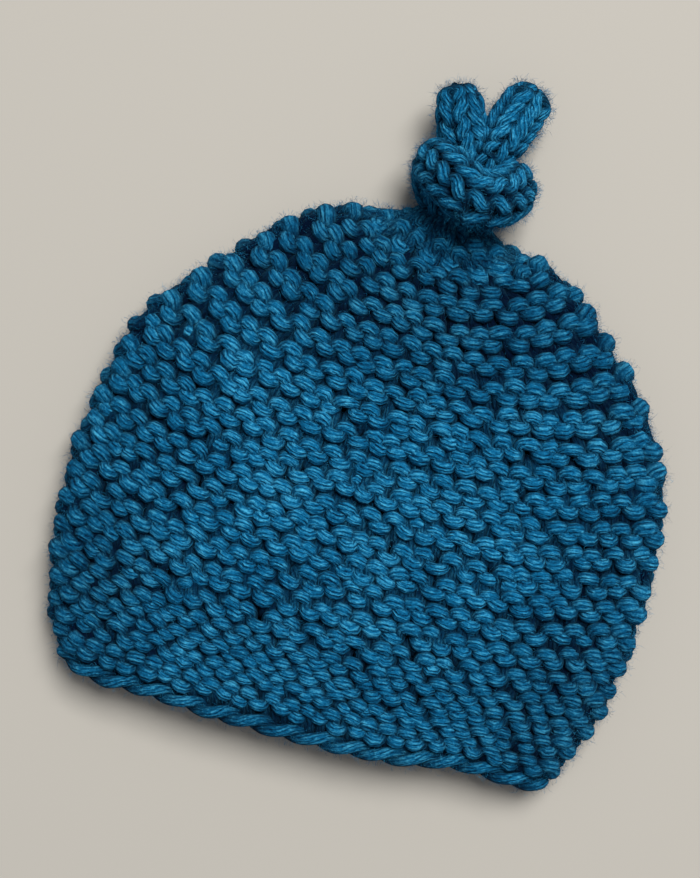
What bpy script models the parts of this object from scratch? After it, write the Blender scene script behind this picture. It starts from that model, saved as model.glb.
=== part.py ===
"""A baby's knitted top-knot beanie, lying flat as it is laid on a table.

The hat is a garter stitch bag: a hollow of thick ribbed knitting, open along the brim and closed at
the crown. A cast-on strand runs round the opening. Two knitted cords grow out of the crown and are
tied together in a half knot, and their free ends stand up as two little ears.

Frame: +Z up, the brim towards -Y, the knot towards +Y, +X to the right as seen from above. The
origin is on the table, under the middle of the model's box. Sizes are in metres.
"""

import math

import bmesh
import bpy
from mathutils import Vector

# Driving sizes of the bag.
FLAT_WIDTH = 0.1682
FLAT_HEIGHT = 0.1500
LYING_HEIGHT = 0.0190
WALL = 0.0061
RIDGE_COUNT = 22
RIDGE_DEPTH = 0.0019
SQUASH_DEPTH = 0.0025
BRIM_SKEW = 0.0022
HOLLOW_TOP = 0.89
GATHER_FLUTES = 8
GATHER_DEPTH = 0.0016

# Driving sizes of the edge strand and of the cords.
EDGE_DIAMETER = 0.0054
CORD_DIAMETER = 0.0124
KNOT_SHIFT = 0.0020

# Running clearance between pieces that touch on the real hat.
GAP = 0.0003

# How finely the solids are divided.
AROUND = 48
HOLLOW_RINGS = 9
EDGE_SIDES = 8
EDGE_RUN_STEPS = 9
EDGE_FOLD_STEPS = 8
CORD_SIDES = 12
CORD_RINGS = 52
CORD_ROOT_RINGS = 6
CORD_LOOK = 4

# Sizes that follow from the driving ones.
HALF_WIDTH = FLAT_WIDTH / 2.0
NECK_HALF_WIDTH = 1.05 * CORD_DIAMETER
NECK_HEIGHT = 1.02 * CORD_DIAMETER
KNOT_CENTRE_HEIGHT = 1.04 * CORD_DIAMETER + GAP

# The lying outline, one row for each section from the brim to the neck. Columns: share of the
# ridges, left and right reach as shares of the way from the neck's half width to the widest half
# width, height of the ridge line at the side folds and at the middle as shares of FLAT_HEIGHT, and
# thickness as a share of the way from the neck's to the bag's.
OUTLINE = (
    (0.000, 0.856, 0.840, 0.036, -0.003, 0.85),
    (0.045, 0.902, 0.895, 0.066, 0.038, 0.90),
    (0.182, 0.972, 0.982, 0.201, 0.144, 0.96),
    (0.364, 1.000, 1.000, 0.400, 0.329, 1.00),
    (0.545, 0.928, 0.943, 0.602, 0.513, 1.00),
    (0.636, 0.820, 0.842, 0.703, 0.606, 0.98),
    (0.727, 0.633, 0.661, 0.803, 0.698, 0.92),
    (0.795, 0.495, 0.500, 0.872, 0.767, 0.82),
    (0.864, 0.314, 0.330, 0.923, 0.837, 0.62),
    (0.932, 0.136, 0.150, 0.958, 0.912, 0.32),
    (1.000, 0.000, 0.000, 0.985, 0.985, 0.00),
)
SIDE_SQUARENESS = 0.60
FACE_ROUNDNESS = 0.84
RIDGE_BOW = 2.6

# The cords' routes from the crown to the ear's tip, in shares of CORD_DIAMETER, measured from the
# knot's middle. Columns: across, along, up, and the cord's radius where the knot squeezes it.
LEFT_CORD = (
    (-0.42, -0.82, -0.48, 0.40),
    (-0.62, -0.52, -0.42, 0.42),
    (-0.80, -0.14, -0.24, 0.46),
    (-0.79, 0.14, 0.22, 0.49),
    (-0.42, 0.00, 0.68, 0.56),
    (0.10, -0.18, 0.80, 0.60),
    (0.62, -0.08, 0.58, 0.57),
    (0.88, 0.14, 0.02, 0.50),
    (0.68, 0.16, -0.56, 0.38),
    (0.26, 0.26, -0.60, 0.28),
    (-0.10, 0.52, -0.44, 0.31),
    (-0.44, 0.92, -0.27, 0.39),
    (-0.68, 1.26, -0.06, 0.49),
    (-0.74, 1.52, 0.00, 0.51),
    (-0.75, 1.74, 0.02, 0.51),
)
RIGHT_CORD = (
    (0.36, -0.82, -0.48, 0.34),
    (0.24, -0.52, -0.36, 0.27),
    (0.10, -0.16, -0.08, 0.20),
    (0.06, 0.22, 0.04, 0.20),
    (0.20, 0.56, 0.09, 0.24),
    (0.37, 0.92, 0.00, 0.33),
    (0.48, 1.24, -0.10, 0.43),
    (0.62, 1.60, -0.18, 0.50),
    (0.78, 2.05, -0.22, 0.51),
)

TEAL = (0.012, 0.095, 0.165, 1.0)
EAR_TIP_STEPS = (0.35, 0.65, 0.88, 0.97)
INNER_BEND_SHARE = 0.80


def clear_scene():
    """Removes what the scene starts with."""
    for old in list(bpy.data.objects):
        bpy.data.objects.remove(old, do_unlink=True)


def make_material(name, colour):
    """A matt wool finish."""
    material = bpy.data.materials.new(name)
    material.use_nodes = True
    shader = material.node_tree.nodes["Principled BSDF"]
    shader.inputs["Base Color"].default_value = colour
    shader.inputs["Roughness"].default_value = 0.9
    shader.inputs["Metallic"].default_value = 0.0
    return material


def signed_power(value, power):
    """A power that keeps the sign of its base."""
    return math.copysign(abs(value) ** power, value)


def read_rows(rows, share):
    """Reads a table at any share of its first column, on a smooth curve through its rows."""
    last = len(rows) - 1
    low = 0
    while low < last - 1 and share > rows[low + 1][0]:
        low += 1
    before = rows[max(low - 1, 0)]
    start = rows[low]
    end = rows[low + 1]
    after = rows[min(low + 2, last)]
    span = end[0] - start[0]
    t = (share - start[0]) / span
    values = []
    for column in range(1, len(start)):
        slope_in = (end[column] - before[column]) / (end[0] - before[0]) * span
        slope_out = (after[column] - start[column]) / (after[0] - start[0]) * span
        value = (2 * t**3 - 3 * t**2 + 1) * start[column]
        value += (t**3 - 2 * t**2 + t) * slope_in
        value += (3 * t**2 - 2 * t**3) * end[column]
        value += (t**3 - t**2) * slope_out
        values.append(value)
    return values


def smooth_step(value):
    """Rises smoothly from 0 to 1."""
    value = min(max(value, 0.0), 1.0)
    return value * value * (3.0 - 2.0 * value)


def section_angles(count):
    """Angles round a section, spaced so that the flat faces and the tight side folds both get points."""
    angles = []
    for step in range(count):
        turn = 2.0 * math.pi * (step + 0.5) / count
        angles.append(turn + 0.16 * math.sin(2.0 * turn))
    return angles


def ridge_height(share, sideways, side_height, middle_height):
    """How high a ridge line lies at a place across it: bowed up at the folds, askew at the brim."""
    bow = abs(sideways) ** RIDGE_BOW
    skew = BRIM_SKEW * sideways * (1.0 - share) ** 3
    return FLAT_HEIGHT * (middle_height + (side_height - middle_height) * bow) + skew


def section_point(share, angle, inset, floor):
    """A point of the bag at a share of its ridges, moved inwards by inset and kept above floor."""
    left, right, side_height, middle_height, thick = read_rows(OUTLINE, share)
    across = math.cos(angle)
    reach = NECK_HALF_WIDTH + (right if across > 0.0 else left) * (HALF_WIDTH - NECK_HALF_WIDTH)
    height = NECK_HEIGHT + thick * (LYING_HEIGHT - NECK_HEIGHT)
    flute = 0.5 - 0.5 * math.cos(GATHER_FLUTES * angle)
    inset += GATHER_DEPTH * flute * smooth_step((share - 0.80) / 0.15)
    sideways = signed_power(across, SIDE_SQUARENESS)
    middle = (height - SQUASH_DEPTH) / 2.0
    half = (height + SQUASH_DEPTH) / 2.0 - inset
    x = sideways * (reach - inset)
    y = ridge_height(share, sideways, side_height, middle_height)
    z = middle + half * signed_power(math.sin(angle), FACE_ROUNDNESS)
    return Vector((x, y, max(z, floor)))


def hollow_point(share, angle):
    """A point of the smooth inner wall."""
    left, right, side_height, middle_height, thick = read_rows(OUTLINE, share)
    across = math.cos(angle)
    reach = NECK_HALF_WIDTH + (right if across > 0.0 else left) * (HALF_WIDTH - NECK_HALF_WIDTH)
    height = NECK_HEIGHT + thick * (LYING_HEIGHT - NECK_HEIGHT)
    sideways = signed_power(across, SIDE_SQUARENESS)
    x = sideways * (reach - WALL)
    y = ridge_height(share, sideways, side_height, middle_height)
    z = height / 2.0 + (height / 2.0 - WALL) * signed_power(math.sin(angle), FACE_ROUNDNESS)
    return Vector((x, y, z))


def add_ring(mesh, points):
    """Adds one ring of vertices."""
    return [mesh.verts.new(point) for point in points]


def bridge(mesh, first, second):
    """Joins two rings of the same count with quads."""
    count = len(first)
    for step in range(count):
        after = (step + 1) % count
        mesh.faces.new((first[step], first[after], second[after], second[step]))


def make_object(name, mesh, material):
    """Turns a closed bmesh into a smooth-shaded object of its own."""
    bmesh.ops.recalc_face_normals(mesh, faces=mesh.faces)
    data = bpy.data.meshes.new(name)
    mesh.to_mesh(data)
    mesh.free()
    data.shade_smooth()
    data.set_sharp_from_angle(angle=math.radians(50.0))
    data.materials.append(material)
    piece = bpy.data.objects.new(name, data)
    bpy.context.scene.collection.objects.link(piece)
    return piece


def make_bag(material):
    """The garter stitch bag: ridged outside, smooth inside, open at the brim."""
    mesh = bmesh.new()
    angles = section_angles(AROUND)
    rings = []
    for step in range(2 * RIDGE_COUNT + 1):
        share = step / (2.0 * RIDGE_COUNT)
        inset = 0.0 if step % 2 else RIDGE_DEPTH
        rings.append(add_ring(mesh, [section_point(share, angle, inset, 0.0) for angle in angles]))
    hollow = []
    for step in range(HOLLOW_RINGS + 1):
        share = HOLLOW_TOP * step / HOLLOW_RINGS
        hollow.append(add_ring(mesh, [hollow_point(share, angle) for angle in angles]))
    for first, second in zip(rings, rings[1:]):
        bridge(mesh, first, second)
    for first, second in zip(hollow, hollow[1:]):
        bridge(mesh, second, first)
    bridge(mesh, hollow[0], rings[0])
    mesh.faces.new(rings[-1])
    mesh.faces.new(list(reversed(hollow[-1])))
    caps = [face for face in mesh.faces if len(face.verts) > 4]
    bmesh.ops.poke(mesh, faces=caps)
    return make_object("garter_body", mesh, material)


def edge_route():
    """The middle of the cast-on strand: straight runs above and below, with a round fold at each side."""
    left, right, side_height, middle_height, thick = read_rows(OUTLINE, 0.0)
    height = NECK_HEIGHT + thick * (LYING_HEIGHT - NECK_HEIGHT)
    wall_middle = (RIDGE_DEPTH + WALL) / 2.0
    low = max((RIDGE_DEPTH + WALL - SQUASH_DEPTH) / 2.0, EDGE_DIAMETER / 2.0)
    fold = (height - wall_middle - low) / 2.0
    route = []
    for direction, share in ((1.0, right), (-1.0, left)):
        rim = NECK_HALF_WIDTH + share * (HALF_WIDTH - NECK_HALF_WIDTH) - RIDGE_DEPTH
        reach = rim - (WALL - RIDGE_DEPTH) / 2.0
        straight = [(reach - fold) * step / EDGE_RUN_STEPS for step in range(EDGE_RUN_STEPS)]
        points = [(across, low) for across in straight]
        for step in range(EDGE_FOLD_STEPS + 1):
            turn = math.pi * step / EDGE_FOLD_STEPS
            points.append((reach - fold + fold * math.sin(turn), low + fold - fold * math.cos(turn)))
        points += [(across, low + 2.0 * fold) for across in reversed(straight)]
        if direction < 0.0:
            points.reverse()
        for across, up in points[:-1]:
            along = ridge_height(0.0, direction * across / rim, side_height, middle_height)
            route.append(Vector((direction * across, along - GAP - EDGE_DIAMETER / 2.0, up)))
    return route


def make_edge(material):
    """The cast-on strand round the opening, just outside the rim."""
    mesh = bmesh.new()
    radius = EDGE_DIAMETER / 2.0
    route = edge_route()
    rings = []
    for step, centre in enumerate(route):
        along = (route[(step + 1) % len(route)] - route[step - 1]).normalized()
        outwards = along.cross(Vector((0.0, 1.0, 0.0))).normalized()
        forwards = outwards.cross(along).normalized()
        points = []
        for side in range(EDGE_SIDES):
            turn = 2.0 * math.pi * (side + 0.5) / EDGE_SIDES
            points.append(centre + radius * (math.cos(turn) * outwards + math.sin(turn) * forwards))
        rings.append(add_ring(mesh, points))
    for step in range(len(route)):
        bridge(mesh, rings[step], rings[(step + 1) % len(route)])
    return make_object("cast_on_edge", mesh, material)


def route_point(rows, place):
    """A point and radius on the smooth curve through a cord's rows, at a place counted in rows."""
    numbered = [(float(index),) + row for index, row in enumerate(rows)]
    across, along, up, radius = read_rows(numbered, place)
    return Vector((across, along, up)) * CORD_DIAMETER, radius * CORD_DIAMETER


def bend_at(before, centre, after):
    """The way a cord bends, and how far its inner side may reach that way before it is pressed flat."""
    way_in = centre - before
    way_out = after - centre
    if min(way_in.length, way_out.length) < 1e-6:
        return Vector((1.0, 0.0, 0.0)), CORD_DIAMETER
    change = way_out.normalized() - way_in.normalized()
    sharpness = change.length / (0.5 * (way_in.length + way_out.length))
    if sharpness * CORD_DIAMETER < 0.1:
        return Vector((1.0, 0.0, 0.0)), CORD_DIAMETER
    return change.normalized(), INNER_BEND_SHARE / sharpness


def make_cord(name, rows, material):
    """One knitted cord, from its flat root on the crown to its rounded ear tip."""
    mesh = bmesh.new()
    neck_end = FLAT_HEIGHT * OUTLINE[-1][3]
    root = Vector(rows[0][:3]) * CORD_DIAMETER
    knot_middle = Vector((KNOT_SHIFT, neck_end + GAP - root.y, KNOT_CENTRE_HEIGHT))
    centres = []
    radii = []
    for step in range(CORD_RINGS + 1):
        centre, radius = route_point(rows, (len(rows) - 1) * step / CORD_RINGS)
        centres.append(centre + knot_middle)
        radii.append(radius)
    tip_way = (centres[-1] - centres[-2]).normalized()
    tip_radius = radii[-1]
    tip_centre = centres[-1]
    for step in EAR_TIP_STEPS:
        centres.append(tip_centre + tip_way * tip_radius * step)
        radii.append(tip_radius * math.sqrt(1.0 - step * step))
    side_way = Vector((1.0, 0.0, 0.0))
    rings = []
    for step, centre in enumerate(centres):
        before = centres[max(step - CORD_LOOK, 0)]
        after = centres[min(step + CORD_LOOK, len(centres) - 1)]
        upright = 1.0 - smooth_step(step / CORD_ROOT_RINGS)
        along = (after - before).normalized().lerp(Vector((0.0, 1.0, 0.0)), upright).normalized()
        side_way = (side_way - along * side_way.dot(along)).normalized()
        up_way = along.cross(side_way)
        bend_way, bend_limit = bend_at(before, centre, after)
        points = []
        for side in range(CORD_SIDES):
            turn = 2.0 * math.pi * side / CORD_SIDES
            spoke = radii[step] * (math.cos(turn) * side_way + math.sin(turn) * up_way)
            excess = max(spoke.dot(bend_way) - bend_limit, 0.0)
            points.append(centre + spoke - bend_way * excess)
        rings.append(add_ring(mesh, points))
    for first, second in zip(rings, rings[1:]):
        bridge(mesh, first, second)
    mesh.faces.new(list(reversed(rings[0])))
    mesh.faces.new(rings[-1])
    return make_object(name, mesh, material)


def centre_on_table(pieces):
    """Moves the whole hat so that the origin is under the middle of its box, on the table."""
    corners = [vertex.co for piece in pieces for vertex in piece.data.vertices]
    middle_x = (min(point.x for point in corners) + max(point.x for point in corners)) / 2.0
    middle_y = (min(point.y for point in corners) + max(point.y for point in corners)) / 2.0
    lowest = min(point.z for point in corners)
    shift = Vector((-middle_x, -middle_y, -lowest))
    for piece in pieces:
        for vertex in piece.data.vertices:
            vertex.co += shift
    print("moved by", [round(value, 6) for value in shift])


def main():
    """Builds the hat."""
    clear_scene()
    wool = make_material("teal_wool", TEAL)
    pieces = [
        make_bag(wool),
        make_edge(wool),
        make_cord("left_cord", LEFT_CORD, wool),
        make_cord("right_cord", RIGHT_CORD, wool),
    ]
    centre_on_table(pieces)


main()
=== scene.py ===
# %% [markdown]
# A baby's top-knot beanie, knitted by hand in thick teal wool and laid flat on a table. The solids
# of the frame give the hat its place and size. This lesson dresses them in real yarn: every stitch
# is a loop of a swept tube, laid row by row over the wall of the bag and round the two cords of the
# knot.

# %% Load the frame
import math

import bpy
import numpy as np
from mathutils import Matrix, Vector


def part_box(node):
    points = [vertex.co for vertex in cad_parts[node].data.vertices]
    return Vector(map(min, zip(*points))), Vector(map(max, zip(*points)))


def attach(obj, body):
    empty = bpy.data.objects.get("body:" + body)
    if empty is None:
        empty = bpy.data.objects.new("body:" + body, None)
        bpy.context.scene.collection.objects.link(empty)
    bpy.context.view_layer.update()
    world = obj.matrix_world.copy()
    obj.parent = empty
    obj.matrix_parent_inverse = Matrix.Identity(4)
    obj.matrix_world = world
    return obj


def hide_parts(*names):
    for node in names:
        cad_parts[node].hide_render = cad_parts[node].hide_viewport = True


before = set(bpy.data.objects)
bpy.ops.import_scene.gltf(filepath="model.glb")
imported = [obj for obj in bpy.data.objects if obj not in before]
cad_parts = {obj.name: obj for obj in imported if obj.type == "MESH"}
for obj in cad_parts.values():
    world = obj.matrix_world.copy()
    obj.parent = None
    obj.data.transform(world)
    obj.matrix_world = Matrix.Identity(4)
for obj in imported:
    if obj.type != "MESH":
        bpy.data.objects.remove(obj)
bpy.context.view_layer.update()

# %% [markdown]
# Nodes are easier to read as sums than as boxes and wires. `Wire` wraps one socket and turns Python's
# operators into Math and Vector Math nodes, and `Graph` adds any other node from its type, its
# settings and its sockets. Both the yarn's geometry and the wool's colour are written with them, in
# one line where a drawn tree would fill the screen.

# %% Node helpers


class Wire:
    """An output socket that can stand in a sum, in a shader or in a geometry tree."""

    def __init__(self, graph, socket):
        self.graph = graph
        self.socket = socket

    def beside(self, output):
        """Another output of the same node."""
        return Wire(self.graph, self.socket.node.outputs[output])

    def join(self, operation, other, swapped=False):
        """Adds the Math or Vector Math node for this wire and another wire or number."""
        first, second = (other, self) if swapped else (self, other)
        mine = self.socket.type == "VECTOR"
        theirs = isinstance(other, Wire) and other.socket.type == "VECTOR"
        if operation == "MULTIPLY" and mine != theirs:
            vector, factor = (self, other) if mine else (other, self)
            sockets = {0: vector, "Scale": factor}
            return self.graph.node("ShaderNodeVectorMath", sockets, operation="SCALE")
        kind = "ShaderNodeVectorMath" if mine or theirs else "ShaderNodeMath"
        return self.graph.node(kind, {0: first, 1: second}, operation=operation)

    def __add__(self, other):
        return self.join("ADD", other)

    def __radd__(self, other):
        return self.join("ADD", other, swapped=True)

    def __sub__(self, other):
        return self.join("SUBTRACT", other)

    def __rsub__(self, other):
        return self.join("SUBTRACT", other, swapped=True)

    def __mul__(self, other):
        return self.join("MULTIPLY", other)

    def __rmul__(self, other):
        return self.join("MULTIPLY", other, swapped=True)

    def __truediv__(self, other):
        return self.join("DIVIDE", other)

    def __rtruediv__(self, other):
        return self.join("DIVIDE", other, swapped=True)

    def power(self, other):
        return self.join("POWER", other)

    def at_most(self, other):
        return self.join("MINIMUM", other)

    def at_least(self, other):
        return self.join("MAXIMUM", other)

    def sine(self):
        return self.graph.node("ShaderNodeMath", {0: self}, operation="SINE")

    def cosine(self):
        return self.graph.node("ShaderNodeMath", {0: self}, operation="COSINE")

    def size(self):
        return self.graph.node("ShaderNodeMath", {0: self}, operation="ABSOLUTE")


class Graph:
    """A node tree that grows one node at a time."""

    def __init__(self, tree):
        self.tree = tree

    def node(self, kind, sockets=None, output=0, stops=(), **settings):
        """Adds a node: its settings and a ramp's stops first, then its sockets' values or wires."""
        added = self.tree.nodes.new(kind)
        for name, value in settings.items():
            setattr(added, name, value)
        for _ in stops[2:]:
            added.color_ramp.elements.new(0.5)
        for index, (position, colour) in enumerate(stops):
            added.color_ramp.elements[index].position = position
            added.color_ramp.elements[index].color = colour
        for key, value in (sockets or {}).items():
            if isinstance(value, Wire):
                self.tree.links.new(value.socket, added.inputs[key])
            else:
                added.inputs[key].default_value = value
        return Wire(self, added.outputs[output])

    def attribute(self, name, data_type):
        """Reads a named attribute in a geometry tree."""
        return self.node("GeometryNodeInputNamedAttribute", {"Name": name}, data_type=data_type)

    def store(self, geometry, name, value, data_type="FLOAT"):
        """Keeps a value under a name on the points of a geometry."""
        sockets = {"Geometry": geometry, "Name": name, "Value": value}
        return self.node(
            "GeometryNodeStoreNamedAttribute", sockets, data_type=data_type, domain="POINT"
        )


def geometry_graph(name, inputs):
    """A new geometry tree with named inputs; returns the graph and the input wires by name."""
    tree = bpy.data.node_groups.new(name, "GeometryNodeTree")
    tree.interface.new_socket("Geometry", in_out="INPUT", socket_type="NodeSocketGeometry")
    tree.interface.new_socket("Geometry", in_out="OUTPUT", socket_type="NodeSocketGeometry")
    for label, kind in inputs.items():
        tree.interface.new_socket(label, in_out="INPUT", socket_type="NodeSocket" + kind)
    graph = Graph(tree)
    entry = tree.nodes.new("NodeGroupInput")
    wires = {socket.name: Wire(graph, socket) for socket in entry.outputs if socket.name}
    return graph, wires


def grow(source, tree, values, name):
    """Runs a geometry tree on an object and returns the plain mesh object that comes out."""
    modifier = source.modifiers.new("grow", "NODES")
    modifier.node_group = tree
    for item in tree.interface.items_tree:
        if item.in_out == "INPUT" and item.name in values:
            modifier[item.identifier] = values[item.name]
    graph = bpy.context.evaluated_depsgraph_get()
    data = bpy.data.meshes.new_from_object(source.evaluated_get(graph))
    source.modifiers.remove(modifier)
    piece = bpy.data.objects.new(name, data)
    bpy.context.scene.collection.objects.link(piece)
    data.name = name
    return piece


# %% [markdown]
# The wool. A plied yarn shows a few soft strands that run almost along it, with fine fibres on top;
# the colour paints shade where the strands meet and a highlight on their tops. The yarn's sweep stores
# an attribute `fibre`: where a point lies round the yarn, as a cosine and a sine, and how far along.
# A picture of wool would slide over the loops; from these three numbers the ply lines are a sine, so
# they follow every loop, and a fine noise stretched along the yarn makes the fibres. The same two
# patterns give the bumps. A second attribute, `depth`, is near 1 on top of the knitting and falls to 0
# in its hollows, and there painted shade takes the colour almost to black.

# %% Wool material
PLIES = 9
PLY_TURN = 1300.0
FIBRE_STRETCH = 0.20
FIBRE_RELIEF = 0.0009
# Deep teal paints shade in the ply grooves and light teal paints a highlight on the ply tops; the fibre
# noise also mixes them at random.
DEEP_TEAL = (0.0002, 0.009, 0.036, 1.0)
MIDDLE_TEAL = (0.004, 0.128, 0.285, 1.0)
LIGHT_TEAL = (0.070, 0.460, 0.740, 1.0)
# Painted shade: a near-black teal for the hollows between the loops.
PAINTED_HOLLOW_SHADE = (0.0002, 0.0035, 0.016, 1.0)


def wool_material(name, deep, middle, light, hollow_shade):
    """Soft matt wool in three tones of one teal, from painted shade to painted highlight, and the painted
    shade of its hollows.
    """
    material = bpy.data.materials.new(name)
    material.use_nodes = True
    graph = Graph(material.node_tree)
    shader = material.node_tree.nodes["Principled BSDF"]
    fibre = graph.node("ShaderNodeAttribute", output=1, attribute_name="fibre")
    cosine = graph.node("ShaderNodeSeparateXYZ", {0: fibre})
    sine = cosine.beside(1)
    along = cosine.beside(2)
    depth = graph.node("ShaderNodeAttribute", output=2, attribute_name="depth")
    angle = graph.node("ShaderNodeMath", {0: sine, 1: cosine}, operation="ARCTAN2")
    strand = graph.node("ShaderNodeCombineXYZ", {0: cosine, 1: sine, 2: along * 1000.0 * FIBRE_STRETCH})
    wander = graph.node("ShaderNodeTexNoise", {"Vector": strand, "Scale": 1.1, "Detail": 1.0}) * 5.0
    ply = (angle * (0.5 * PLIES) + along * (0.5 * PLY_TURN) + wander).sine().size().power(0.55)
    hairs = graph.node(
        "ShaderNodeTexNoise", {"Vector": strand, "Scale": 3.2, "Detail": 3.0, "Roughness": 0.65}
    )
    place = graph.node("ShaderNodeTexCoord", output=3)
    cloud = graph.node("ShaderNodeTexNoise", {"Vector": place, "Scale": 60.0, "Detail": 2.0})
    fine = graph.node(
        "ShaderNodeTexNoise", {"Vector": place, "Scale": 1500.0, "Detail": 2.0, "Roughness": 0.7}
    )
    # The tone runs from 0, painted shade in the ply grooves, to 1, a painted highlight on the ply tops,
    # with fibre noise that varies it at random; the last number centres it.
    tone = ply * 0.42 + hairs * 1.35 + cloud * 0.4 + fine * 0.6 - 1.02
    shades = ((0.05, deep), (0.5, middle), (0.95, light))
    ramp = graph.node("ShaderNodeValToRGB", {0: tone}, stops=shades)
    # Painted shade: where `depth` is low, the colour is mixed towards the dark of the hollows.
    shade = (depth * 1.25 - 0.20).at_least(0.0).at_most(1.0).power(1.5)
    colour = graph.node("ShaderNodeMix", {0: shade, 6: hollow_shade, 7: ramp}, output=2, data_type="RGBA")
    material.node_tree.links.new(colour.socket, shader.inputs["Base Color"])
    height = ply * 0.42 + hairs * 1.0 + fine * 0.35
    bump = graph.node("ShaderNodeBump", {"Height": height, "Strength": 1.0, "Distance": FIBRE_RELIEF})
    material.node_tree.links.new(bump.socket, shader.inputs["Normal"])
    shader.inputs["Roughness"].default_value = 0.95
    shader.inputs["Specular IOR Level"].default_value = 0.04
    shader.inputs["Sheen Weight"].default_value = 0.06
    shader.inputs["Sheen Roughness"].default_value = 0.5
    shader.inputs["Sheen Tint"].default_value = (0.12, 0.55, 0.85, 1.0)
    return material


wool = wool_material("teal_wool", DEEP_TEAL, MIDDLE_TEAL, LIGHT_TEAL, PAINTED_HOLLOW_SHADE)
print("wool of", PLIES, "plies from", len(wool.node_tree.nodes), "nodes")

# %% [markdown]
# One tree knits everything. It is given rails: lines of points that run along a row of knitting, each
# point with the vector to the next stitch (`across`), to the next row (`up`), off the cloth (`out`)
# and its phase, which turns once for each stitch. A loop of yarn is then a few sines. It goes down and
# up once (`Reach`), swings wide at its head and foot (`Swing`), and passes from the back to the front
# of the cloth. In garter stitch the head of one row and the foot of the next lie in front together
# and make a ridge (`Ridge`); in a knitted cord both lie behind, and the legs show as a V (`Vee`).
# A noise moves each loop a little (`Wobble`), because no stitch made by hand is like the next. Last,
# the tree works out `depth`, the painted shade of the wool: how far the strand stands out of the cloth,
# measured by `Relief`, darker where its skin turns away from the front, and lighter or darker by each
# rail's own painted light and shade.

# %% Knitting tree


def knit_tree():
    """Bends rails into loops of yarn and sweeps a round strand along them."""
    labels = ("Reach", "Flat", "Swing", "Lean", "Ridge", "Dive", "Vee", "Roll")
    labels += ("Yarn Radius", "Wobble", "Noise Size")
    inputs = {label: "Float" for label in labels}
    inputs.update({"Relief": "Float", "Sides": "Int", "Material": "Material", "Floor": "Float"})
    graph, wire = geometry_graph("knit_loops", inputs)
    across = graph.attribute("across", "FLOAT_VECTOR")
    up = graph.attribute("up", "FLOAT_VECTOR")
    out = graph.attribute("out", "FLOAT_VECTOR")
    phase = graph.attribute("phase", "FLOAT")
    side = graph.attribute("side", "FLOAT")
    ease = graph.attribute("ease", "FLOAT")
    double = (phase * 2.0).sine()
    cosine = phase.cosine()
    triple = (phase * 3.0).cosine()
    fall = wire["Reach"] * (cosine - wire["Flat"] * triple) + wire["Lean"] * double
    pass_through = wire["Ridge"] * side * (cosine + wire["Dive"] * triple) * -1.0
    depth = pass_through - wire["Vee"] * (phase * 2.0).cosine() + wire["Roll"] * phase.sine()
    move = across * (wire["Swing"] * double) - up * fall + out * depth
    place = graph.node("GeometryNodeInputPosition")
    row = graph.attribute("row", "FLOAT")
    noise = graph.node(
        "ShaderNodeTexNoise", {"Vector": place, "W": row, "Scale": wire["Noise Size"], "Detail": 1.0},
        output=1, noise_dimensions="4D"
    )
    stray = graph.node("ShaderNodeVectorMath", {0: noise, 1: (0.5, 0.5, 0.5)}, operation="SUBTRACT")
    # Painted shade: deeper strands get a darker colour, and each rail adds its own painted light or
    # shade.
    front = (depth / wire["Relief"]) * 0.5 + 0.5 + graph.attribute("painted_shading", "FLOAT")
    move = move * ease + stray * wire["Wobble"]
    moved = graph.node("GeometryNodeSetPosition", {"Geometry": wire["Geometry"], "Offset": move})
    moved = graph.store(moved, "depth", front)
    line = graph.node("GeometryNodeMeshToCurve", {"Mesh": moved})
    length = graph.node("GeometryNodeSplineParameter", output=1)
    line = graph.store(line, "along", length)
    girth = graph.attribute("girth", "FLOAT")
    ring = graph.node("GeometryNodeCurvePrimitiveCircle", {"Resolution": wire["Sides"], "Radius": 1.0})
    factor = graph.node("GeometryNodeSplineParameter")
    ring = graph.store(ring, "around", factor)
    thickness = wire["Yarn Radius"] * girth
    tube = graph.node(
        "GeometryNodeCurveToMesh",
        {"Curve": line, "Profile Curve": ring, "Scale": thickness, "Fill Caps": True},
    )
    turn = graph.attribute("around", "FLOAT") * (2.0 * math.pi)
    fibre = graph.node(
        "ShaderNodeCombineXYZ", {0: turn.cosine(), 1: turn.sine(), 2: graph.attribute("along", "FLOAT")}
    )
    tube = graph.store(tube, "fibre", fibre, "FLOAT_VECTOR")
    # Painted shade: the colour darkens where the yarn's skin turns away from the front of the cloth.
    normal = graph.node("GeometryNodeInputNormal")
    facing = graph.node("ShaderNodeVectorMath", {0: normal, 1: out}, output=1, operation="DOT_PRODUCT")
    shadow = (facing * 0.75 + 0.42).at_least(0.16).at_most(1.0)
    shaded = graph.attribute("depth", "FLOAT").at_least(0.0) * shadow
    tube = graph.store(tube, "depth", shaded)
    # Yarn that would sink into the table is lifted onto it.
    spot = graph.node("ShaderNodeSeparateXYZ", {0: graph.node("GeometryNodeInputPosition")})
    height = spot.beside(2)
    lift = graph.node("ShaderNodeCombineXYZ", {0: 0.0, 1: 0.0, 2: (wire["Floor"] - height).at_least(0.0)})
    tube = graph.node("GeometryNodeSetPosition", {"Geometry": tube, "Offset": lift})
    tube = graph.node("GeometryNodeSetShadeSmooth", {"Geometry": tube})
    tube = graph.node("GeometryNodeRealizeInstances", {"Geometry": tube})
    tube = graph.node("GeometryNodeSetMaterial", {"Geometry": tube, "Material": wire["Material"]})
    exit_node = graph.tree.nodes.new("NodeGroupOutput")
    graph.tree.links.new(tube.socket, exit_node.inputs[0])
    return graph.tree


KNIT = knit_tree()
VECTORS = ("across", "up", "out")
NUMBERS = ("phase", "side", "ease", "girth", "row", "painted_shading")
LOOP_SETTINGS = {
    "Reach": 1.0, "Flat": 0.0, "Swing": 0.1, "Lean": 0.0, "Ridge": 0.0, "Dive": 0.0, "Vee": 0.0,
    "Roll": 0.0, "Relief": 0.002, "Yarn Radius": 0.0017, "Wobble": 0.0, "Noise Size": 100.0,
    "Sides": 8, "Material": wool, "Floor": 0.00005,
}
print("knitting tree of", len(KNIT.nodes), "nodes")


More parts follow.
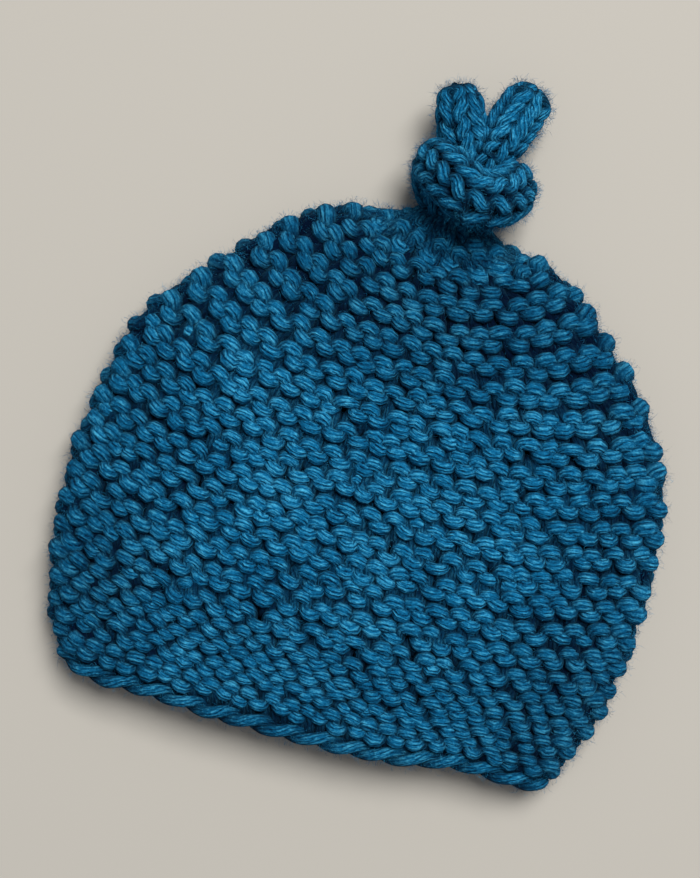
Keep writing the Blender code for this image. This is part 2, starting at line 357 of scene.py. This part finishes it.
def rail_object(name, rails):
    """A mesh of bare edges: each rail is a dict of arrays, closed or open."""
    points, edges = [], []
    fields = {key: [] for key in VECTORS + NUMBERS}
    start = 0
    for rail in rails:
        count = len(rail["point"])
        points.append(rail["point"])
        for key, rows in fields.items():
            shape = (count, 3) if key in VECTORS else (count,)
            rows.append(np.broadcast_to(rail[key], shape))
        order = np.arange(start, start + count)
        edges.append(np.stack([order[:-1], order[1:]], axis=1))
        if rail["closed"]:
            edges.append(np.array([[order[-1], order[0]]]))
        start += count
    points = np.concatenate(points)
    edges = np.concatenate(edges)
    data = bpy.data.meshes.new(name)
    data.vertices.add(len(points))
    data.vertices.foreach_set("co", points.astype(np.float32).ravel())
    data.edges.add(len(edges))
    data.edges.foreach_set("vertices", edges.astype(np.int32).ravel())
    for key, rows in fields.items():
        kind = "FLOAT_VECTOR" if key in VECTORS else "FLOAT"
        layer = data.attributes.new(key, kind, "POINT")
        values = np.concatenate(rows).astype(np.float32).ravel()
        layer.data.foreach_set("vector" if key in VECTORS else "value", values)
    holder = bpy.data.objects.new(name, data)
    bpy.context.scene.collection.objects.link(holder)
    return holder


def knit(name, rails, loops):
    """Knits one piece from its rails and the settings of its loops, and puts it in the frame."""
    holder = rail_object(name + "_rails", rails)
    piece = grow(holder, KNIT, {**LOOP_SETTINGS, **loops}, name)
    bpy.data.objects.remove(holder, do_unlink=True)
    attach(piece, "root")
    faces = piece.data.polygons
    print(name, "rails", len(rails), "triangles", sum(len(face.vertices) - 2 for face in faces))
    return piece


# %% [markdown]
# The wall of the bag. The hat is read as sections, from the brim to the neck: how far each reaches to
# the left and right, how high its ridge line lies at the folded sides and at the middle, and how
# thick the flat hat is there. It is nearly the table that shaped the solid, moved a few millimetres
# where the loops of yarn reach out or fall back, and the frame gives the sizes. The two corners of
# the brim hang a little lower than the rest, and the wall is drawn in close under the knot.

# %% Wall of the bag
CORD_DIAMETER = 0.0124
GAP = 0.0003
body_low, body_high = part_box("garter_body")
FLAT_HEIGHT = 0.1500
BRIM_SKEW = 0.0022
CORNER_SAG = 0.0026
SAG_SHARE = 0.12
# Where the brim hangs lower: the place across, how wide, and its share of the sag.
CORNERS = ((-0.060, 0.011, 1.0), (0.067, 0.009, 0.8), (0.044, 0.012, -0.75))
LYING_HEIGHT = body_high.z
HALF_WIDTH = (body_high.x - body_low.x) / 2.0
MIDDLE_X = (body_high.x + body_low.x) / 2.0
NECK_HALF_WIDTH = 1.05 * CORD_DIAMETER
NECK_HEIGHT = 1.02 * CORD_DIAMETER
NECK_NARROWING = 0.26
HALF_WALL = 0.0033
LYING_LOWER = 0.0030
OUTLINE = (
    (0.000, 0.834, 0.840, 0.036, -0.003, 0.85),
    (0.045, 0.888, 0.890, 0.066, 0.038, 0.90),
    (0.182, 0.972, 0.982, 0.201, 0.144, 0.96),
    (0.364, 1.000, 1.000, 0.400, 0.329, 1.00),
    (0.545, 0.928, 0.943, 0.602, 0.513, 1.00),
    (0.636, 0.808, 0.832, 0.703, 0.606, 0.98),
    (0.727, 0.617, 0.648, 0.803, 0.698, 0.92),
    (0.795, 0.477, 0.497, 0.872, 0.767, 0.82),
    (0.864, 0.314, 0.330, 0.923, 0.837, 0.62),
    (0.932, 0.140, 0.150, 0.946, 0.908, 0.32),
    (1.000, 0.000, 0.000, 0.982, 0.985, 0.00),
)
BRIM_Y = body_high.y - OUTLINE[-1][4] * FLAT_HEIGHT
SIDE_SQUARENESS = 0.60
FACE_ROUNDNESS = 0.84
RIDGE_BOW = 2.6


def read_rows(rows, share):
    """Reads a table at any share of its first column, on a smooth curve through its rows."""
    last = len(rows) - 1
    low = 0
    while low < last - 1 and share > rows[low + 1][0]:
        low += 1
    before, start = rows[max(low - 1, 0)], rows[low]
    end, after = rows[low + 1], rows[min(low + 2, last)]
    span = end[0] - start[0]
    t = (share - start[0]) / span
    values = []
    for column in range(1, len(start)):
        slope_in = (end[column] - before[column]) / (end[0] - before[0]) * span
        slope_out = (after[column] - start[column]) / (after[0] - start[0]) * span
        value = (2 * t**3 - 3 * t**2 + 1) * start[column] + (t**3 - 2 * t**2 + t) * slope_in
        value += (3 * t**2 - 2 * t**3) * end[column] + (t**3 - t**2) * slope_out
        values.append(value)
    return values


def smooth_step(value):
    """Rises smoothly from 0 to 1."""
    value = np.clip(value, 0.0, 1.0)
    return value * value * (3.0 - 2.0 * value)


def wall_section(share):
    """A fine closed line round the bag, in the middle of its wall, and its length so far."""
    left, right, side_height, middle_height, thick = read_rows(OUTLINE, share)
    angle = -0.5 * math.pi - np.linspace(0.0, 2.0 * math.pi, 1441)
    across = np.cos(angle)
    neck = NECK_HALF_WIDTH * (1.0 - NECK_NARROWING * smooth_step((share - 0.93) / 0.06))
    reach = neck + np.where(across > 0, right, left) * (HALF_WIDTH - NECK_HALF_WIDTH)
    height = NECK_HEIGHT + thick * (LYING_HEIGHT - NECK_HEIGHT)
    sideways = np.sign(across) * np.abs(across) ** SIDE_SQUARENESS
    bow = np.abs(sideways) ** RIDGE_BOW
    lift = np.sign(np.sin(angle)) * np.abs(np.sin(angle)) ** FACE_ROUNDNESS
    half = (height - HALF_WALL - LYING_LOWER) / 2.0
    x = MIDDLE_X + sideways * (reach - HALF_WALL)
    y = BRIM_Y + FLAT_HEIGHT * (middle_height + (side_height - middle_height) * bow)
    y += BRIM_SKEW * sideways * (1.0 - share) ** 3
    corners = sum(depth * np.exp(-((x - place) / width) ** 2) for place, width, depth in CORNERS)
    y -= CORNER_SAG * corners * max(1.0 - share / SAG_SHARE, 0.0) ** 2
    z = LYING_LOWER + half + half * lift
    line = np.stack([x, y, z], axis=1)
    length = np.concatenate([[0.0], np.cumsum(np.linalg.norm(np.diff(line, axis=0), axis=1))])
    return line, length


def wall_points(share, turns):
    """Points of the wall at shares of the way round, starting under the middle."""
    line, length = wall_section(share)
    wanted = (turns % 1.0) * length[-1]
    return np.stack([np.interp(wanted, length, line[:, axis]) for axis in range(3)], axis=1)


print("bag", round(2000 * HALF_WIDTH, 1), "wide,", round(1000 * FLAT_HEIGHT, 1), "mm high")

# %% [markdown]
# Garter stitch is knitted in rounds, one knitted and one purled in turn, so two rows make a ridge.
# Fifty-two stitches go round the hat; from the shoulders up they are decreased so that each keeps its
# width. A bumpy skin on the solid would be quicker, but real loops shade each other and break up the
# outline, so every row is a closed rail of yarn. `up` is the step to the next row, found on the wall
# itself, so the loops open out at the folds, where the ridges lie further apart. A few slow waves,
# with a seed for each ridge, make some stitches wider and some thinner. Under the knot the wool is
# drawn together, so the loops there are long, close and narrow.

# %% Garter stitch rows
RIDGES = 22
STITCHES = 52
STITCH_WIDTH = 0.0064
STEPS = 16
ROW_STEP = 1.0 / (2 * RIDGES)
ROW_PITCH = 0.0034
FOLD_STRETCH = 0.60
FOLD_GIRTH = 0.30
DRIFT_CYCLES = (5, 9, 14, 23)


def unit(vectors):
    """The same vectors, one long."""
    return vectors / np.maximum(np.linalg.norm(vectors, axis=-1, keepdims=True), 1e-12)


def row_stitches(share):
    """How many stitches a row has: all of them, until the crown's decreases."""
    around = wall_section(share)[1][-1]
    if share < 0.5:
        return STITCHES
    return max(7, min(STITCHES, round(around / STITCH_WIDTH)))


def garter_rail(row):
    """One round of garter stitch."""
    share = (row + 0.5) * ROW_STEP
    stitches = row_stitches((row - row % 2 + 1.0) * ROW_STEP)
    count = stitches * STEPS
    turns = np.arange(count) / count
    point = wall_points(share, turns)
    above = min(share + ROW_STEP / 2, 1.0)
    below = max(share - ROW_STEP / 2, 0.0)
    up = (wall_points(above, turns) - wall_points(below, turns)) * (ROW_STEP / (above - below))
    across = (np.roll(point, -1, axis=0) - np.roll(point, 1, axis=0)) * (STEPS / 2.0)
    out = unit(np.cross(across, up))
    pitch = np.linalg.norm(up, axis=1)
    drawn_in = np.minimum(pitch, ROW_PITCH + FOLD_STRETCH * (pitch - ROW_PITCH))
    # Shares from 0 to 1: near the side folds, near the neck, and where the loops grow narrow.
    aside = np.abs(point[:, 0] - MIDDLE_X)
    fold = smooth_step((aside / aside.max() - 0.88) / 0.12)
    gathered = smooth_step((share - 0.89) / 0.06)
    narrowed = smooth_step((share - 0.86) / 0.05)
    # Slow seeded waves round the row.
    chance = np.random.default_rng(100 + row // 2)
    waves = [
        chance.normal() * np.sin(2.0 * math.pi * (cycle * turns + chance.random()))
        for cycle in DRIFT_CYCLES
    ]
    drift = np.sum(waves, axis=0) * 0.7
    # Painted light and shade: the gathered rows under the knot are painted lighter, and the wool is
    # painted darker towards the crown, the two sides and the brim, where it turns from the light.
    painted_shading = 0.02 + 0.25 * gathered - 0.29 * smooth_step((share - 0.55) / 0.30)
    painted_shading = painted_shading - 0.18 * smooth_step((aside / HALF_WIDTH - 0.40) / 0.45)
    painted_shading = painted_shading - 0.13 * smooth_step((0.40 - share) / 0.25)
    # The yarn is thicker where the rows open out, and never quite even.
    uneven = 1.0 + (0.05 + 0.10 * gathered) * np.roll(drift, count // 3)
    girth = np.clip(pitch / ROW_PITCH, 0.92, 1.5) ** 0.7 * (1.0 + FOLD_GIRTH * fold) * uneven
    girth = girth * (1.0 + 0.12 * gathered)
    up = unit(up) * (drawn_in * (1.0 + (0.45 - 0.45 * fold) * gathered))[:, None]
    return {
        "point": point - out * (0.0016 * np.maximum(girth - 1.1, 0.0))[:, None],
        "across": across * (1.0 - 0.68 * narrowed), "up": up, "out": out,
        "phase": 2.0 * math.pi * (np.arange(count) / STEPS - 0.25 * stitches + 0.25) + 0.5 * drift,
        "side": (1.0 - 0.30 * gathered) * (1.0 if row % 2 == 0 else -1.0), "ease": 1.0,
        "girth": girth, "row": 0.7 * row, "painted_shading": painted_shading, "closed": True,
    }


BANDS = {
    "brim_knitting": (0, 11),
    "lower_knitting": (11, 22),
    "upper_knitting": (22, 33),
    "crown_knitting": (33, 44),
}
GARTER_LOOPS = {
    "Reach": 1.12, "Flat": 0.08, "Swing": 0.115, "Lean": 0.05, "Ridge": 0.0018, "Dive": 0.22,
    "Yarn Radius": 0.00200, "Wobble": 0.0045, "Noise Size": 160.0, "Sides": 10,
}
pieces = []
for band, (first, last) in BANDS.items():
    piece = knit(band, [garter_rail(row) for row in range(first, last)], GARTER_LOOPS)
    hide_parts("garter_body")
    pieces.append(piece)

# %% [markdown]
# The cast-on edge is two strands of yarn laid loosely round each other along the rim. Seen from above
# each passes over in a long soft scallop. One smooth tube would lose the scallops, so both strands
# come from the same knitting tree, half a turn apart.

# %% Cast-on edge
EDGE_RADIUS = 0.0027
EDGE_TWISTS = 15
EDGE_STEPS = 26
EDGE_LOOPS = {
    "Reach": 1.2, "Swing": 0.0, "Roll": 0.0013, "Yarn Radius": 0.00175, "Wobble": 0.0012,
    "Relief": 0.0018, "Sides": 10,
}


def edge_rail(offset):
    """One strand of the edge, as a closed rail that turns once in each twist."""
    count = EDGE_TWISTS * EDGE_STEPS
    turns = np.arange(count) / count
    point = wall_points(0.0, turns)
    point[:, 1] -= GAP + EDGE_RADIUS
    across = (np.roll(point, -1, axis=0) - np.roll(point, 1, axis=0)) * (EDGE_STEPS / 2.0)
    up = np.tile([0.0, 1.0, 0.0], (count, 1))
    out = unit(np.cross(across, up))
    phase = 2.0 * math.pi * (np.arange(count) / EDGE_STEPS + offset)
    return {
        "point": point, "across": across, "up": up * 0.0010, "out": out, "phase": phase,
        "side": 1.0, "ease": 1.0, "girth": 1.0, "row": 50.0 + offset, "painted_shading": 0.0, "closed": True,
    }


edge = knit("cast_on_strands", [edge_rail(0.0), edge_rail(0.5)], EDGE_LOOPS)
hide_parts("cast_on_edge")
pieces.append(edge)

# %% [markdown]
# The top knot is two knitted cords tied once round each other. A knitted cord is a tiny tube, four
# stitches round, worked in a spiral, so each cord is a single rail that winds along the cord's route.
# The routes are short tables of listed points, in shares of the cord's own thickness: place across,
# along and above the middle of the knot, and half the width there. A plain core fills each cord.

# %% Cords of the knot
KNOT_SHIFT = 0.0020
KNOT_CENTRE = np.array((
    KNOT_SHIFT + MIDDLE_X,
    body_high.y + GAP + 0.82 * CORD_DIAMETER,
    1.04 * CORD_DIAMETER + GAP,
))
CORD_STITCHES = 4
CORD_ROW = 0.0040
CORD_STEPS = 16
CORD_FULLNESS = 1.04
CORD_YARN = 0.0019
CORE_INSET = 0.0020
EAR_LENGTH = 0.026
TIP_LENGTH = 0.014
CORD_LOOPS = {
    "Reach": 0.80, "Swing": 0.27, "Vee": 0.0009, "Yarn Radius": CORD_YARN, "Wobble": 0.0014,
    "Relief": 0.0012, "Sides": 10,
}
LEFT_CORD = (
    (-0.42, -0.82, -0.48, 0.40),
    (-0.62, -0.52, -0.42, 0.42),
    (-0.80, -0.16, -0.24, 0.47),
    (-0.80, 0.12, 0.22, 0.52),
    (-0.44, -0.12, 0.68, 0.57),
    (0.10, -0.40, 0.80, 0.58),
    (0.60, -0.30, 0.60, 0.60),
    (0.87, 0.10, 0.04, 0.59),
    (0.68, 0.20, -0.56, 0.40),
    (0.26, 0.26, -0.60, 0.34),
    (-0.06, 0.52, -0.34, 0.45),
    (-0.35, 0.92, -0.20, 0.50),
    (-0.58, 1.26, -0.04, 0.51),
    (-0.68, 1.50, 0.00, 0.50),
    (-0.72, 1.60, 0.02, 0.48),
)
RIGHT_CORD = (
    (0.36, -0.82, -0.48, 0.34),
    (0.24, -0.52, -0.36, 0.27),
    (0.10, -0.16, -0.10, 0.24),
    (0.08, 0.20, -0.02, 0.31),
    (0.20, 0.56, 0.02, 0.38),
    (0.36, 0.92, -0.02, 0.46),
    (0.46, 1.26, -0.10, 0.53),
    (0.56, 1.62, -0.18, 0.53),
    (0.69, 2.02, -0.22, 0.51),
)


def cord_centreline(rows, count=600):
    """A fine line along the cord with its radius, ending in a round tip, evenly spaced."""
    numbered = [(float(index),) + row for index, row in enumerate(rows)]
    samples = np.array([read_rows(numbered, (len(rows) - 1) * i / count) for i in range(count + 1)])
    samples *= CORD_DIAMETER
    line, radius = samples[:, :3] + KNOT_CENTRE, samples[:, 3]
    way = unit(line[-1] - line[-2])
    tip = np.sin(np.linspace(0.05, 0.5 * math.pi, 24))
    line = np.concatenate([line, line[-1] + radius[-1] * tip[:, None] * way])
    radius = np.concatenate([radius, radius[-1] * np.sqrt(1.0 - tip**2)])
    length = np.concatenate([[0.0], np.cumsum(np.linalg.norm(np.diff(line, axis=0), axis=1))])
    return line, radius, length


def cord_frames(line):
    """Sideways and upward vectors carried along the cord without twist."""
    along = unit(np.gradient(line, axis=0))
    side = np.zeros_like(line)
    way = np.array([1.0, 0.0, 0.0])
    for index, direction in enumerate(along):
        way = unit(way - direction * way.dot(direction))
        side[index] = way
    return along, side, np.cross(along, side)


def cord_rails(rows):
    """The spiral of stitches of one cord, and the soft core inside it."""
    line, radius, length = cord_centreline(rows)
    along, side, upward = cord_frames(line)
    rounds = (length[-1] - 0.22 * CORD_ROW) / CORD_ROW
    count = int(rounds * CORD_STITCHES * CORD_STEPS)
    turn = np.linspace(0.0, rounds, count)
    place = turn * CORD_ROW

    def pick(values):
        return np.stack([np.interp(place, length, values[:, axis]) for axis in range(3)], axis=1)

    centre, forward = pick(line), unit(pick(along))
    angle = (2 * math.pi * turn)[:, None]
    spoke = np.cos(angle) * pick(side) + np.sin(angle) * pick(upward)
    width = np.interp(place, length, radius)
    fullness = np.maximum(width * CORD_FULLNESS - CORD_YARN, 0.0008)
    point = centre + fullness[:, None] * spoke
    around = unit(np.cross(forward, spoke)) * (2 * math.pi * fullness / CORD_STITCHES)[:, None]
    squeeze = np.clip(width / (0.5 * CORD_DIAMETER), 0.62, 1.0)
    # `to_tip` falls from 1 to 0 over the last rows, `ear` rises to 1 where the end stands free.
    to_tip = smooth_step((length[-1] - place) / (1.6 * CORD_ROW))
    ear = smooth_step((place - length[-1] + EAR_LENGTH) / 0.012)
    spiral = {
        "point": point, "across": around, "up": forward * (CORD_ROW * (0.15 + 0.85 * to_tip))[:, None],
        "out": unit(spoke), "phase": 2 * math.pi * turn * CORD_STITCHES, "side": 1.0,
        "ease": squeeze, "girth": squeeze, "row": 80.0,
        # Painted light: the cords are painted lighter, most on the free ends and towards the tips.
        "painted_shading": 0.11 + 0.15 * ear + 0.10 * (1.0 - to_tip), "closed": False,
    }
    inner = slice(0, -8, 12)
    still = np.zeros_like(line[inner])
    tipness = smooth_step((length[inner] - length[-1]) / TIP_LENGTH + 1.0)
    core_radius = np.maximum(radius[inner] - CORE_INSET + 0.5 * CORE_INSET * tipness, 0.0003)
    core = {
        "point": line[inner], "across": still, "up": still, "out": still + [0.0, 0.0, 1.0],
        "phase": 0.0, "side": 1.0, "ease": 0.0, "girth": core_radius / CORD_YARN, "row": 90.0,
        # Painted shade darkens the core, turning to painted light towards the tip.
        "painted_shading": -0.25 + 0.65 * tipness, "closed": False,
    }
    return [spiral, core]


for name, rows, node in (
    ("left_cord_knitting", LEFT_CORD, "left_cord"),
    ("right_cord_knitting", RIGHT_CORD, "right_cord"),
):
    piece = knit(name, cord_rails(rows), CORD_LOOPS)
    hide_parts(node)
    pieces.append(piece)

# %% [markdown]
# Wool is never smooth: fine hairs leave the yarn everywhere and lie over it, and along the outline
# they make a soft halo. Each is a thin closed spindle, bent once in its middle, that starts on a face
# of the knitting. Blender's own hair would be lost in an export of plain meshes, so they are scattered
# by face area with a fixed seed, far denser on the outline of the hat, because that is where they
# show, and made as joined meshes from arrays.

# %% Wool hairs
HAIRS = 20000
HAIR_RADIUS = 0.000034
SHORTEST_HAIR = 0.0009
HAIR_SPREAD = 0.0027
HAIR_LIFTS = (0.0001, 0.0015)
HAIR_ROOT = 0.0002
SECTORS = 240


def outline_share(points):
    """How near each point lies to the outline of them all, seen from above: 1 on it."""
    flat = points[:, :2] - (points[:, :2].max(axis=0) + points[:, :2].min(axis=0)) / 2.0
    sector = ((np.arctan2(flat[:, 1], flat[:, 0]) / math.pi + 1.0) * 0.5 * SECTORS).astype(int) % SECTORS
    reach = np.linalg.norm(flat, axis=1)
    furthest = np.zeros(SECTORS)
    np.maximum.at(furthest, sector, reach)
    return reach / furthest[sector]


def hair_spindles(line, out):
    """The corners and triangles of one closed spindle round each bent line of three points."""
    ahead = unit(line[:, 2] - line[:, 0])
    side = unit(np.cross(ahead, out + 0.01))
    above = np.cross(side, ahead)
    ring, spindle = [], []
    for corner in range(3):
        after = (corner + 1) % 3
        angle = 2.0 * math.pi * corner / 3.0
        ring.append(line[:, 1] + HAIR_RADIUS * (math.cos(angle) * side + math.sin(angle) * above))
        spindle += [(0, 1 + corner, 1 + after), (4, 1 + after, 1 + corner)]
    points = np.stack([line[:, 0], *ring, line[:, 2]], axis=1).reshape(-1, 3)
    triangles = (np.array(spindle)[None] + 5 * np.arange(len(line))[:, None, None]).reshape(-1, 3)
    return points, triangles


def scatter_hairs(name, whole, sources, count, rim_hairs, seed):
    """One mesh of loose hairs on some knitting, denser on the outline of the whole."""
    chance = np.random.default_rng(seed)
    centres, normals, areas = [], [], []
    for source in whole:
        faces = source.data.polygons
        middle, normal, area = (np.empty(len(faces) * size) for size in (3, 3, 1))
        faces.foreach_get("center", middle)
        faces.foreach_get("normal", normal)
        faces.foreach_get("area", area)
        centres.append(middle.reshape(-1, 3))
        normals.append(normal.reshape(-1, 3))
        areas.append(area * (source in sources))
    centres, normals, areas = (np.concatenate(rows) for rows in (centres, normals, areas))
    weight = areas * (normals[:, 2] > -0.35)
    weight *= 1.0 + rim_hairs * smooth_step((outline_share(centres) - 0.92) / 0.05)
    chosen = chance.choice(len(areas), size=count, p=weight / weight.sum())
    root, out = centres[chosen], normals[chosen]
    way = unit(np.cross(out, chance.normal(size=(count, 3))))
    turn = unit(way + 0.7 * chance.normal(size=(count, 3)))
    length = SHORTEST_HAIR + HAIR_SPREAD * chance.uniform(0.0, 1.0, (count, 1)) ** 1.6
    lift = chance.uniform(*HAIR_LIFTS, count)[:, None]
    line = np.stack([
        root - out * HAIR_ROOT,
        root + unit(way + turn * 0.5) * length * 0.5 + out * lift * 1.2,
        root + unit(way + turn * 1.6) * length + out * lift * chance.uniform(-0.2, 1.9, count)[:, None],
    ], axis=1)
    line[:, :, 2] = np.maximum(line[:, :, 2], 0.0001)
    points, triangles = hair_spindles(line, out)
    data = bpy.data.meshes.new(name)
    data.vertices.add(len(points))
    data.vertices.foreach_set("co", points.astype(np.float32).ravel())
    data.loops.add(triangles.size)
    data.loops.foreach_set("vertex_index", triangles.astype(np.int32).ravel())
    data.polygons.add(len(triangles))
    data.polygons.foreach_set("loop_start", np.arange(0, triangles.size, 3, dtype=np.int32))
    data.update(calc_edges=True)
    depth = data.attributes.new("depth", "FLOAT", "POINT")
    depth.data.foreach_set("value", np.ones(len(points), np.float32))
    fibre = data.attributes.new("fibre", "FLOAT_VECTOR", "POINT")
    values = np.repeat(chance.uniform(-1.0, 1.0, (count, 3)), 5, axis=0)
    fibre.data.foreach_set("vector", values.astype(np.float32).ravel())
    data.materials.append(wool)
    hair = bpy.data.objects.new(name, data)
    bpy.context.scene.collection.objects.link(hair)
    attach(hair, "root")
    print(name, "hairs", count, "triangles", len(triangles))


scatter_hairs("lower_hairs", pieces[:5], pieces[:2] + pieces[4:5], HAIRS, 14.0, 7)
scatter_hairs("upper_hairs", pieces[:5], pieces[2:4], HAIRS, 14.0, 8)
scatter_hairs("knot_hairs", pieces[5:], pieces[5:], HAIRS // 2, 7.0, 9)

# %% [markdown]
# The stage: a plain pale floor, one large soft light from above the knot with the pale world as its
# fill, and the camera straight above the hat, rolled so that the hat leans as it was laid. The camera
# stands at the distance that makes one pixel of the picture the same length on the hat as in the
# photograph, so the two can be laid over each other.

# %% Floor, lights and camera
PHOTO_SCALE = 3547.0
PHOTO_WIDTH, PHOTO_HEIGHT = 700, 878
LEAN = math.radians(16.75)
HAT_FOOT_PIXEL = (301.0, 719.0)
CAMERA_DISTANCE = 0.47
FOCUS_HEIGHT = 0.011
SENSOR = 36.0
FLOOR_COLOUR = (0.428, 0.407, 0.368, 1.0)
LIGHT_PLACE = Vector((0.42, 1.35, 2.5))
LIGHT_SIZE = 1.5
LIGHT_POWER = 112.0
WORLD_POWER = 0.28


def floor_material():
    """Plain pale matt floor."""
    material = bpy.data.materials.new("pale_floor")
    material.use_nodes = True
    shader = material.node_tree.nodes["Principled BSDF"]
    shader.inputs["Base Color"].default_value = FLOOR_COLOUR
    shader.inputs["Roughness"].default_value = 0.95
    shader.inputs["Specular IOR Level"].default_value = 0.1
    return material


bpy.ops.mesh.primitive_plane_add(size=6.0, location=(0.0, 0.0, 0.0))
floor = bpy.context.active_object
floor.name = "floor"
floor.data.materials.append(floor_material())


def on_photo(column, row):
    """The place on the hat's plane that shows at a pixel of the photograph's frame."""
    right = (column - HAT_FOOT_PIXEL[0]) / PHOTO_SCALE
    upward = (HAT_FOOT_PIXEL[1] - row) / PHOTO_SCALE
    x = right * math.cos(LEAN) - upward * math.sin(LEAN)
    y = right * math.sin(LEAN) + upward * math.cos(LEAN)
    return Vector((x + MIDDLE_X, y + BRIM_Y, FOCUS_HEIGHT))


aim = on_photo(PHOTO_WIDTH / 2, PHOTO_HEIGHT / 2)
camera_data = bpy.data.cameras.new("camera")
camera_data.sensor_width = SENSOR
camera_data.lens = SENSOR * CAMERA_DISTANCE * PHOTO_SCALE / PHOTO_HEIGHT
camera = bpy.data.objects.new("camera", camera_data)
camera.location = aim + Vector((0.0, 0.0, CAMERA_DISTANCE))
camera.rotation_euler = (0.0, 0.0, LEAN)
bpy.context.scene.collection.objects.link(camera)
bpy.context.scene.camera = camera

window = bpy.data.lights.new("window", "AREA")
window.shape = "SQUARE"
window.size = LIGHT_SIZE
window.energy = LIGHT_POWER
window.color = (1.0, 0.985, 0.96)
light = bpy.data.objects.new("window", window)
light.location = LIGHT_PLACE
light.rotation_mode = "QUATERNION"
light.rotation_quaternion = (-LIGHT_PLACE).to_track_quat("-Z", "Y")
bpy.context.scene.collection.objects.link(light)

world = bpy.data.worlds.new("studio")
bpy.context.scene.world = world
world.use_nodes = True
background = world.node_tree.nodes["Background"]
background.inputs["Color"].default_value = (0.93, 0.95, 1.0, 1.0)
background.inputs["Strength"].default_value = WORLD_POWER
bpy.context.scene.view_settings.view_transform = "Standard"
print("camera with a lens of", round(camera_data.lens, 1), "mm,", CAMERA_DISTANCE, "m above the hat")
